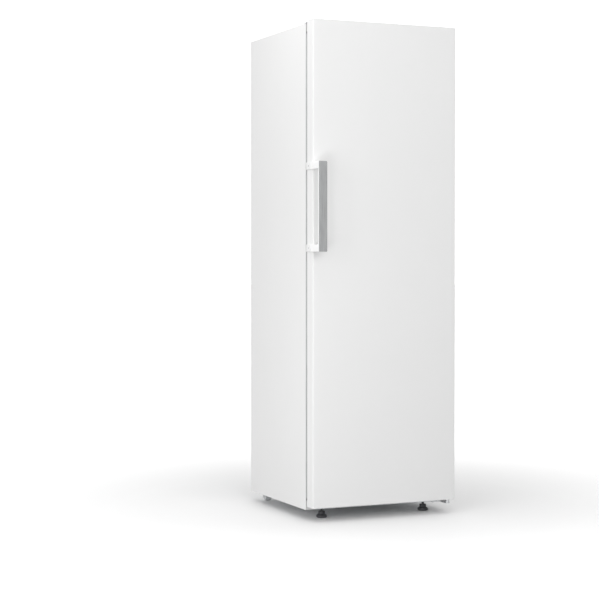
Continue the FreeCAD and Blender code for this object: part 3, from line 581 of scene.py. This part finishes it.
def relief(bm, xs, zs, height, flip, skip=None):
    """A sheet over X and Z whose Y follows a height function."""
    rows = [[bm.verts.new((x * MM, height(x, z) * MM, z * MM)) for x in xs] for z in zs]
    for j in range(len(zs) - 1):
        for i in range(len(xs) - 1):
            if skip and skip((xs[i] + xs[i + 1]) / 2, (zs[j] + zs[j + 1]) / 2):
                continue
            q = (rows[j][i], rows[j][i + 1], rows[j + 1][i + 1], rows[j + 1][i])
            bm.faces.new(tuple(reversed(q)) if flip else q)
    loose = [v for v in bm.verts if not v.link_faces]
    bmesh.ops.delete(bm, geom=loose, context="VERTS")


# ============================================================ sizes taken from the frame
lo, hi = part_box("door_skin")
DX, DF, DB = hi.x / MM, lo.y / MM, hi.y / MM          # half width, front, back of the door
DZ0, DZ1 = lo.z / MM, hi.z / MM
NOTCH_Z, NOTCH_X = 1840.0, 268.5
lo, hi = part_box("side_panel_left")
CF, CB, CZ0, CZ1 = lo.y / MM, hi.y / MM, lo.z / MM, hi.z / MM

# ============================================================ door, outside
R = 3.5
path = [(-DX, DB), (-DX, (DB + DF) / 2)]
path += arc(-DX + R, DF + R, R, 180, 270, 10)
path += [(-DX + R + k * (2 * DX - 2 * R) / 24, DF) for k in range(1, 24)]
corner = arc(DX - R, DF + R, R, 270, 360, 10)
first_side = len(path) + len(corner) - 1
path += corner + [(DX, (DB + DF) / 2), (DX, DB)]
levels = [DZ0] + [DZ0 + k * (NOTCH_Z - DZ0) / 40 for k in range(1, 40)] + [NOTCH_Z, DZ1]
bm = bmesh.new()
sheet_up(bm, path, levels, skip=lambda i, j: j == len(levels) - 2 and i >= first_side)
o = piece(bm, "door_outer_sheet", M["enamel"], "door", ["door_skin"])
solidify(o, 0.8 * MM)

polish("door_cap_top", M["plastic"], 0.3, 2)
polish("door_cap_bottom", M["plastic"], 0.3, 2)
polish("hinge_bushes", M["dark"], 0.3)
polish("door_insulation", M["foam"], 0.0)

# ============================================================ handle
polish("handle_arms", M["arm"], 0.9, 3)
polish("handle_grip", M["arm"], 0.9, 3)
polish("handle_trim", M["brushed"], 0.25, 2)
polish("handle_screws", M["screw"], 0.25)

# ============================================================ cabinet shell
def side_sheet(name, sgn, node):
    """Side panel: one sheet with its folded front and rear returns."""
    r = 1.6
    fold = [(DX - 40.0, CF), (DX - 20.0, CF), (DX - 6.0, CF)] + arc(DX - r, CF + r, r, 270, 360, 5)
    fold += [(DX, CF + (CB - CF) * k / 12) for k in range(1, 12)]
    fold += arc(DX - r, CB - r, r, 0, 90, 5) + [(DX - 14.0, CB)]
    pts = [(sgn * x, y) for x, y in fold]
    if sgn < 0:
        pts.reverse()
    b = bmesh.new()
    sheet_up(b, pts, [CZ0 + k * (CZ1 - CZ0) / 36 for k in range(37)])
    # Painted shade: faces of the front return within 6 mm of the outer edge take the greyer frame enamel, standing in
    # for the shade inside the door gap.
    for f in b.faces:
        c = f.calc_center_median()
        if c.y < (CF + 0.3) * MM and abs(c.x) > (DX - 6.0) * MM:
            f.material_index = 1
    q = piece(b, name, [M["side"], M["frame"]], "cabinet", [node])
    solidify(q, 0.8 * MM)


side_sheet("side_sheet_right", 1, "side_panel_right")
side_sheet("side_sheet_left", -1, "side_panel_left")
# The top panel takes the darker enamel copy: painted shade.
polish("top_panel", M["top"], 0.5)
polish("top_front_trim", M["trim"], 0.4)
polish("base_pan", M["galv"], 0.4)
polish("bay_panel", M["galv"], 0.0)
polish("compressor_tray", M["galv"], 0.4)
polish("bay_cover", M["galv"], 0.25)
polish("cabinet_insulation", M["foam"], 0.0)
polish("hinge_cover", M["plastic"], 0.5)
for n in ("hinge_bracket_top", "hinge_bracket_bottom", "hinge_pin_top", "hinge_pin_bottom", "roller_brackets"):
    polish(n, M["zinc"], 0.5)
polish("hinge_screws", M["screw"], 0.4)
polish("wall_spacers", M["dark"], 1.2, 3)
for n in ("foot_left", "foot_right"):
    polish(n, M["dark"], 0.5)
for n in ("roller_left", "roller_right"):
    polish(n, M["tray"], 0.5)

# Rear sheet with pressed beads that run out smoothly at their ends.
lo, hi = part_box("back_panel")
bead_x = [-190.0, -80.0, 80.0, 190.0]
bx0, bx1, bz0, bz1 = lo.x / MM, hi.x / MM, lo.z / MM, hi.z / MM
xs = spread(bx0, bx1, 40.0, bead_x, near=13.0, fine=1.0)
zs = spread(bz0, bz1, 60.0, (bz0 + 80.0, bz1 - 70.0), near=14.0, fine=1.4)


def rear_height(x, z):
    d = min(rr_dist(x, z, bx, (bz0 + bz1) / 2 + 5.0, 8.0, (bz1 - bz0) / 2 - 71.0, 8.0) for bx in bead_x)
    return CB - 0.02 + 1.6 * ease((1.5 - d) / 3.6)


bm = bmesh.new()
relief(bm, xs, zs, rear_height, flip=True)
o = piece(bm, "rear_sheet", M["rear"], "cabinet", ["back_panel"])
solidify(o, 0.7 * MM)

# ============================================================ cooling pieces
polish("compressor", M["black"], 2.0, 3)
polish("compressor_mounts", M["rubber"], 0.8)
polish("start_relay", M["dark"], 0.8)
polish("drip_tray", M["tray"], 0.6)
polish("filter_drier", M["copper"], 0.5)
polish("refrigerant_pipes", M["copper"], 0.0)
polish("condenser", M["black"], 0.0)
polish("cord_gland", M["dark"], 0.5)
polish("evaporator", M["fins"], 0.0)
polish("defrost_heater", M["zinc"], 0.4)
polish("fan_motor", M["dark"], 0.6)
polish("fan_blade", M["fan"], 0.4)
polish("evaporator_cover", M["liner"], 0.7)

# ============================================================ compartment
lo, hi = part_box("inner_liner")
FX, FZ0, FZ1 = hi.x / MM, lo.z / MM, hi.z / MM        # flange outline
CAV, CAVB, STEP_Z, STEP_Y = 235.5, 255.0, 330.0, 90.0
CAV0, CAV1 = 110.0, 1776.0

bm = bmesh.new()
prof = [(CF, CAV0), (STEP_Y, CAV0), (STEP_Y, STEP_Z), (CAVB, STEP_Z), (CAVB, CAV1), (CF, CAV1)]
left = [bm.verts.new((-CAV * MM, y * MM, z * MM)) for y, z in prof]
right = [bm.verts.new((CAV * MM, y * MM, z * MM)) for y, z in prof]
for i in range(len(prof) - 1):
    bm.faces.new((left[i], right[i], right[i + 1], left[i + 1]))
bm.faces.new(left)
bm.faces.new(tuple(reversed(right)))
bmesh.ops.recalc_face_normals(bm, faces=bm.faces)
inner_edges = [e for e in bm.edges if not e.is_boundary]
bmesh.ops.bevel(bm, geom=inner_edges, offset=14.0 * MM, offset_type="OFFSET", segments=5, profile=0.5,
                affect="EDGES", clamp_overlap=True)
mouth = [e for e in bm.edges if e.is_boundary]
rim = []
for x, z in ((-FX, FZ0), (FX, FZ0), (FX, FZ1), (-FX, FZ1)):
    rim.append(bm.verts.new((x * MM, CF * MM, z * MM)))
rim_edges = [bm.edges.new((rim[i], rim[(i + 1) % 4])) for i in range(4)]
made = bmesh.ops.triangle_fill(bm, use_beauty=True, use_dissolve=False, edges=mouth + rim_edges)
bmesh.ops.recalc_face_normals(bm, faces=bm.faces)
lip = [e for e in mouth if e.is_valid and len(e.link_faces) == 2]
bmesh.ops.bevel(bm, geom=lip, offset=3.5 * MM, offset_type="OFFSET", segments=3, profile=0.5,
                affect="EDGES", clamp_overlap=True)
back = [f for f in bm.faces if f.calc_center_median().y > (CAVB - 1) * MM]
if back and back[0].normal.y > 0:
    for f in bm.faces:
        f.normal_flip()
o = piece(bm, "liner_shell", M["liner"], "cabinet", ["inner_liner"])
solidify(o, 1.8 * MM, -1.0)

bm = bmesh.new()
for k in range(1, 7):
    z = 110.0 + 238.0 * k - 4.0
    for sgn in (-1, 1):
        a, b = sorted((sgn * (CAV + 0.6), sgn * (CAV - 8.0)))
        add_box(bm, (a, -205.0, z - 8.0), (b, 192.0, z), 2.2, 3)
piece(bm, "liner_ledges", M["liner"], "cabinet")

polish("glass_shelves", M["glass"], 0.8, 3)
polish("control_housing", M["plastic"], 0.8, 3)
polish("control_board", M["board"], 0.2)
polish("light_lens", M["lens"], 0.5)

# Dial: fluted rim, raised pointer, on its shaft.
bm = bmesh.new()
lo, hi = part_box("temperature_dial")
dx, dz = (lo.x + hi.x) / 2 / MM, (lo.z + hi.z) / 2 / MM
df = lo.y / MM
rings = []
for y, r, flute in ((df + 26.0, 4.0, 0), (df + 13.1, 4.0, 0), (df + 13.0, 15.0, 0), (df + 12.6, 16.6, 0.2), (df + 11.0, 16.9, 0.7),
                    (df + 3.0, 15.4, 0.8), (df + 1.2, 14.6, 0.5), (df + 0.7, 13.2, 0), (df + 0.7, 2.0, 0)):
    ring = []
    for i in range(96):
        a = 2 * math.pi * i / 96
        q = r - flute * (0.5 - 0.5 * math.cos(a * 16))
        ring.append((dx + q * math.cos(a), y, dz + q * math.sin(a)))
    rings.append(ring)
loft(bm, rings, close_first=True, close_last=True)
bmesh.ops.recalc_face_normals(bm, faces=bm.faces)
add_box(bm, (dx - 1.3, df + 0.05, dz + 2.0), (dx + 1.3, df + 1.5, dz + 13.0), 0.5, 2)
piece(bm, "dial_knob", M["dial"], "temperature_dial", ["temperature_dial"], angle=40)

# Scale marks round the dial, growing clockwise.
bm = bmesh.new()
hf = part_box("control_housing")[0].y / MM
for i in range(7):
    a = math.radians(225 - 45 * i)
    cx, cz, s = dx + 20.6 * math.cos(a), dz + 20.6 * math.sin(a), 0.7 + 0.13 * i
    if cz > 1773.0 or cz < 1741.0:
        continue
    add_box(bm, (cx - s, hf - 0.25, cz - s), (cx + s, hf + 0.4, cz + s), 0.2, 2)
piece(bm, "dial_marks", M["trim"], "cabinet")

# ============================================================ drawers
def drawer(k):
    node = "drawer_%d" % k
    lo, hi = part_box(node)
    top = k == 7
    zb, zf = lo.z / MM, hi.z / MM                       # tub underside, top of the front
    yf, yb = lo.y / MM, hi.y / MM
    hx = hi.x / MM
    zt = zb + (149.0 if top else 189.0)                  # rim of the tub
    tx = 222.0
    b = bmesh.new()

    # Tub: drafted walls, rounded floor edge, a small rolled rim.
    def ring(z, d, r):
        return [(x, y, z) for x, y in rounded_rect(-tx + d, tx - d, yf + 12.0 + d * 0.35, yb - d, r, 6)]

    outer = [ring(zb, 18.0, 10.0), ring(zb + 1.3, 13.0, 14.0), ring(zb + 4.5, 9.4, 17.0), ring(zb + 9.0, 8.0, 18.0),
             ring(zb + 60.0, 6.4, 18.0), ring(zb + 120.0 if not top else zb + 100.0, 4.8, 18.0), ring(zt - 9.0, 3.6, 18.0),
             ring(zt - 7.5, 0.4, 20.0), ring(zt - 0.8, 0.0, 20.0), ring(zt, 0.9, 19.5)]
    inner = [ring(zt, 3.2, 18.0), ring(zt - 0.9, 4.0, 18.0), ring(zt - 9.0, 6.0, 17.0),
             ring(zb + 60.0, 8.8, 16.0), ring(zb + 11.0, 10.4, 16.0), ring(zb + 6.4, 12.0, 15.0), ring(zb + 3.6, 16.0, 12.0), ring(zb + 2.8, 21.0, 9.0)]
    loft(b, outer + inner, close_first=True, close_last=True, mat=0)
    bmesh.ops.recalc_face_normals(b, faces=b.faces)

    # Vertical ribs on the flanks and stiffening feet under the floor.
    for sgn in (-1, 1):
        n = 4 if k == 1 else 6
        for i in range(n):
            y = yf + 56.0 + (yb - yf - 96.0) * i / (n - 1)
            a, c = sorted((sgn * (tx - 9.0), sgn * (tx - 2.2)))
            add_box(b, (a, y - 4.0, zb + 16.0), (c, y + 4.0, zt - 8.0), 2.0, 2, mat=0)
    for sgn in (-1, 1):
        add_box(b, (sgn * 150.0 - 5.0, yf + 40.0, zb - 0.9), (sgn * 150.0 + 5.0, yb - 40.0, zb + 1.6), 0.8, 2, mat=0)

    # Front: a thick hollow plate with a rounded grip notch.
    w, d = 75.0, 26.0
    nz = zf - d
    outline = arc(-hx + 9.0, zb + 2.0 + 9.0, 9.0, 180, 270, 5) + arc(hx - 9.0, zb + 2.0 + 9.0, 9.0, 270, 360, 5)
    outline += arc(hx - 9.0, zf - 9.0, 9.0, 0, 90, 5)
    outline += arc(w + 7.0, zf - 7.0, 7.0, 90, 180, 5)[0:]
    outline += arc(w - 14.0, nz + 14.0, 14.0, 0, -90, 6)
    outline += arc(-w + 14.0, nz + 14.0, 14.0, -90, -180, 6)
    outline += arc(-w - 7.0, zf - 7.0, 7.0, 0, 90, 5)
    outline += arc(-hx + 9.0, zf - 9.0, 9.0, 90, 180, 5)
    clean = []
    for q in outline:
        if not clean or math.hypot(q[0] - clean[-1][0], q[1] - clean[-1][1]) > 0.05:
            clean.append(q)
    if math.hypot(clean[0][0] - clean[-1][0], clean[0][1] - clean[-1][1]) < 0.05:
        clean.pop()
    fr = [b.verts.new((x * MM, (yf + 1.4) * MM, z * MM)) for x, z in clean]
    bk = [b.verts.new((x * MM, (yf + 18.0) * MM, z * MM)) for x, z in clean]
    faces = [b.faces.new(fr), b.faces.new(tuple(reversed(bk)))]
    n = len(clean)
    for i in range(n):
        faces.append(b.faces.new((fr[i], bk[i], bk[(i + 1) % n], fr[(i + 1) % n])))
    bmesh.ops.recalc_face_normals(b, faces=faces)
    for f in faces:
        f.material_index = 1
    sharp = [e for e in b.edges if all(v in set(fr) for v in e.verts) or all(v in set(bk) for v in e.verts)]
    bmesh.ops.bevel(b, geom=sharp, offset=2.4 * MM, offset_type="OFFSET", segments=4, profile=0.5,
                    affect="EDGES", clamp_overlap=True, material=1)

    # A half-round bead frames the face, and a rolled lip lines the grip.
    def bead(loop_at, depth):
        rings = []
        for off, y in ((2.6, 0.5), (2.3, -0.5), (1.3, -1.2), (0.0, -1.4), (-1.3, -1.2), (-2.3, -0.5), (-2.6, 0.5)):
            rings.append([(x, yf + 1.4 + y * depth, z) for x, z in loop_at(off)])
        made = []
        before = set(b.faces)
        loft(b, rings + [rings[0]], mat=2)
        made = [f for f in b.faces if f not in before]
        bmesh.ops.remove_doubles(b, verts=list({v for f in made for v in f.verts}), dist=1e-7)
        bmesh.ops.recalc_face_normals(b, faces=[f for f in made if f.is_valid])

    fz0, fz1 = zb + 2.0 + 16.0, nz - 14.0
    bead(lambda off: rounded_rect(-hx + 16.0 - off, hx - 16.0 + off, fz0 - off, fz1 + off, 12.0 + off, 6), 1.0)
    add_box(b, (-w + 10.0, yf + 0.3, nz - 9.0), (w - 10.0, yf + 3.0, nz - 4.5), 1.1, 3, mat=2)
    add_box(b, (-w + 6.0, yf + 10.0, nz - 2.0), (w - 6.0, yf + 16.5, nz + 2.6), 2.0, 4, mat=2)
    return piece(b, "%s_moulding" % node, [M["tub"], M["face"], M["lip"]], node, [node], angle=38)


for k in range(1, 8):
    drawer(k)

# ============================================================ door, inside
lo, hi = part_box("door_liner")
LX, LZ0, LZ1, LB = hi.x / MM, lo.z / MM, hi.z / MM, hi.y / MM
PX, PZ0, PZ1 = 250.0, 100.0, 1784.0
fields = [(PZ0 + 40.0 + 400.0 * i + 4.0 * i, PZ0 + 40.0 + 400.0 * i + 4.0 * i + 388.0) for i in range(4)]
fx = 190.0


def liner_height(x, z):
    d = rr_dist(x, z, 0.0, (PZ0 + PZ1) / 2, PX, (PZ1 - PZ0) / 2, 6.0)
    h = DB + 6.0 * ease((5.0 - d) / 7.0)
    for a, c in fields:
        e = rr_dist(x, z, 0.0, (a + c) / 2, fx, (c - a) / 2, 22.0)
        h -= 3.0 * ease(-e / 8.0)
    return h - 0.02


xs = spread(-LX, LX, 30.0, (-PX - 1.5, PX + 1.5, -fx + 4.0, fx - 4.0), near=13.0, fine=1.7)
xs = sorted(set(xs + [NOTCH_X]))
marks = [PZ0 - 1.5, PZ1 + 1.5] + [q for a, c in fields for q in (a + 4.0, c - 4.0)]
zs = sorted(set(spread(LZ0, LZ1, 45.0, marks, near=13.0, fine=1.7) + [NOTCH_Z]))
bm = bmesh.new()
relief(bm, xs, zs, liner_height, flip=True, skip=lambda x, z: x > NOTCH_X and z > NOTCH_Z)
# The inner panel takes the darker liner copy: painted shade.
o = piece(bm, "door_inner_panel", M["door_liner"], "door", ["door_liner"], angle=45)
solidify(o, 1.8 * MM)

# Door seal: bellows profile, mitred at its four corners.
lo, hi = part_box("door_gasket")
GXL, GXR, GZ0, GZ1, GY0, GY1 = lo.x / MM, hi.x / MM, lo.z / MM, hi.z / MM, lo.y / MM, hi.y / MM
half_profile = [(1.6, 0.0), (0.9, 0.5), (0.9, 1.6), (2.0, 2.4), (4.4, 3.2), (5.0, 4.0), (4.3, 4.9), (2.2, 5.7), (1.2, 6.6), (1.6, 7.6),
                (3.6, 8.4), (4.4, 9.1), (3.8, 9.8), (1.4, 10.3), (0.35, 10.9), (0.0, 11.7), (0.0, 13.2), (0.35, 14.1), (1.2, 14.6)]
profile = half_profile + [(16.0 - u, v) for u, v in reversed(half_profile)]
bm = bmesh.new()
rings = []
for cx, cz in ((-1, 0), (1, 0), (1, 1), (-1, 1)):
    ring = []
    for u, v in profile:
        x = (GXL + u) if cx < 0 else (GXR - u)
        z = (GZ0 + u) if cz == 0 else (GZ1 - u)
        ring.append((x, GY0 + v * (GY1 - GY0) / 14.6, z))
    rings.append(ring)
loft(bm, rings + [rings[0]])
bmesh.ops.remove_doubles(bm, verts=bm.verts, dist=1e-7)
bmesh.ops.recalc_face_normals(bm, faces=bm.faces)
piece(bm, "door_seal", M["seal"], "door", ["door_gasket"], angle=55)

# ============================================================ stage, light, camera
def plain(name, color, rough):
    """Pale studio floor, lit through from below further out so that it runs into the white."""
    k = Mat(name, color, rough)
    k.tint(k.noise(0.9, 3.0), 0.004)
    d = k.node("ShaderNodeVectorMath", operation="LENGTH")
    k.link(k.coord, d.inputs[0])
    k.b.inputs["Emission Color"].default_value = (1.0, 1.0, 1.0, 1.0)
    r = k.node("ShaderNodeMapRange", interpolation_type="SMOOTHSTEP")
    r.inputs["From Min"].default_value = 0.3
    r.inputs["From Max"].default_value = 2.6
    r.inputs["To Min"].default_value = 0.0
    r.inputs["To Max"].default_value = FLOOR_GLOW
    k.link(d.outputs["Value"], r.inputs["Value"])
    k.link(r.outputs["Result"], k.b.inputs["Emission Strength"])
    return k.m


FLOOR_GLOW = 0.48


bm = bmesh.new()
S = 60.0
vs = [bm.verts.new(q) for q in ((-S, -S, -0.0004), (S, -S, -0.0004), (S, S, -0.0004), (-S, S, -0.0004))]
bm.faces.new(vs)
me = bpy.data.meshes.new("floor")
bm.to_mesh(me)
bm.free()
floor = link(bpy.data.objects.new("floor", me))
me.materials.append(plain("floor_pale", (0.90, 0.90, 0.90), 0.6))
floor.visible_diffuse = False        # throws no light up, so undersides keep their shade

# White backdrop all round, far off: seen, but it neither lights nor shades the object.
bm = bmesh.new()
bmesh.ops.create_uvsphere(bm, u_segments=64, v_segments=32, radius=58.0)
bmesh.ops.bisect_plane(bm, geom=bm.verts[:] + bm.edges[:] + bm.faces[:], plane_co=(0, 0, -0.5), plane_no=(0, 0, 1), clear_inner=True)
bmesh.ops.reverse_faces(bm, faces=bm.faces[:])
me = bpy.data.meshes.new("backdrop")
bm.to_mesh(me)
bm.free()
backdrop = link(bpy.data.objects.new("backdrop", me))
k = Mat("backdrop_white", (1.0, 1.0, 1.0), 1.0)
k.tint(k.noise(0.05, 2.0), 0.002)
k.b.inputs["Emission Color"].default_value = (1.0, 1.0, 1.0, 1.0)
k.b.inputs["Emission Strength"].default_value = 1.0
me.materials.append(k.m)
for ray in ("diffuse", "glossy", "transmission", "volume_scatter", "shadow"):
    setattr(backdrop, "visible_" + ray, False)

scene = bpy.context.scene
world = bpy.data.worlds.new("studio")
scene.world = world
world.use_nodes = True
wt = world.node_tree
bg = wt.nodes["Background"]
wc = wt.nodes.new("ShaderNodeTexCoord")
sep = wt.nodes.new("ShaderNodeSeparateXYZ")
wt.links.new(wc.outputs["Generated"], sep.inputs["Vector"])


def wmath(op, a, b):
    n = wt.nodes.new("ShaderNodeMath")
    n.operation = op
    for v, s in ((a, n.inputs[0]), (b, n.inputs[1])):
        if isinstance(v, (int, float)):
            s.default_value = v
        else:
            wt.links.new(v, s)
    return n.outputs[0]


X, Y, Z = sep.outputs["X"], sep.outputs["Y"], sep.outputs["Z"]
fronts = wmath("MAXIMUM", wmath("MULTIPLY", Y, -1.0), 0.0)
rightw = wmath("MAXIMUM", X, 0.0)
leftw = wmath("MAXIMUM", wmath("MULTIPLY", X, -1.0), 0.0)
backs = wmath("MAXIMUM", Y, 0.0)
ups = wmath("MAXIMUM", Z, 0.0)
downs = wmath("MAXIMUM", wmath("MULTIPLY", Z, -1.0), 0.0)
SKY = {"all": 0.720, "back": 0.336, "fl": -0.144, "fr": -0.411, "front": -0.164, "left": -0.063, "right": 0.070, "up": -0.080}
level = wmath("MULTIPLY", wmath("SUBTRACT", 1.0, downs), SKY["all"])
for key, term in (("back", backs), ("front", fronts), ("left", leftw), ("right", rightw), ("up", ups),
                  ("fl", wmath("MULTIPLY", fronts, leftw)), ("fr", wmath("MULTIPLY", fronts, rightw))):
    level = wmath("ADD", wmath("MULTIPLY", term, SKY[key]), level)
bg.inputs["Color"].default_value = (1.0, 1.0, 1.0, 1.0)
wt.links.new(level, bg.inputs["Strength"])


def area(name, at, to, size, power, color=(1, 1, 1)):
    d = bpy.data.lights.new(name, "AREA")
    d.shape = "RECTANGLE"
    d.size, d.size_y = size
    d.energy = power
    d.color = color
    q = link(bpy.data.objects.new(name, d))
    q.location = at
    q.rotation_euler = (Vector(to) - Vector(at)).to_track_quat("-Z", "Y").to_euler()
    q.visible_camera = False
    return q


area("front_fill", (-0.3, -4.0, 2.4), (0.0, -0.25, 1.0), (2.5, 2.0), 45.1)
area("high_front", (-0.3, -1.5, 3.4), (-0.1, -0.25, 1.4), (1.6, 1.0), 5.4)
area("high_side", (-0.7, -0.6, 3.2), (-0.35, -0.3, 1.2), (1.2, 1.2), 7.1)
area("strip", (-2.9, -1.55, 1.2), (-0.3, -0.29, 1.2), (0.35, 2.2), 9.4)
area("corner_glow", (-0.95, -0.22, 2.15), (-0.3, -0.22, 1.75), (0.3, 0.3), 1.15)
area("low_fill", (-1.5, -1.6, 0.5), (-0.2, -0.3, 0.5), (0.8, 0.5), 8.5)

# A large, far softbox at the front left: even light over the whole height.
soft = bpy.data.lights.new("left_softbox", "SUN")
soft.energy, soft.angle = 0.60, math.radians(60.0)
softbox = link(bpy.data.objects.new("left_softbox", soft))
az, el = math.radians(48.0), math.radians(12.0)
softbox.rotation_euler = Vector((math.sin(az) * math.cos(el), math.cos(az) * math.cos(el), -math.sin(el))).to_track_quat("-Z", "Y").to_euler()

cam = bpy.data.cameras.new("camera")
cam.lens, cam.sensor_width, cam.sensor_fit = 93.924, 36.0, "AUTO"
cam.clip_start, cam.clip_end = 0.1, 200.0
camera = link(bpy.data.objects.new("camera", cam))
camera.location = (-2.6405, -5.5271, 0.9609)
yaw, pitch = math.radians(23.61), math.radians(1.40)
look = Vector((math.sin(yaw) * math.cos(pitch), math.cos(yaw) * math.cos(pitch), -math.sin(pitch)))
camera.rotation_euler = look.to_track_quat("-Z", "Y").to_euler()
scene.camera = camera
scene.view_settings.view_transform = "Standard"
scene.view_settings.look = "None"
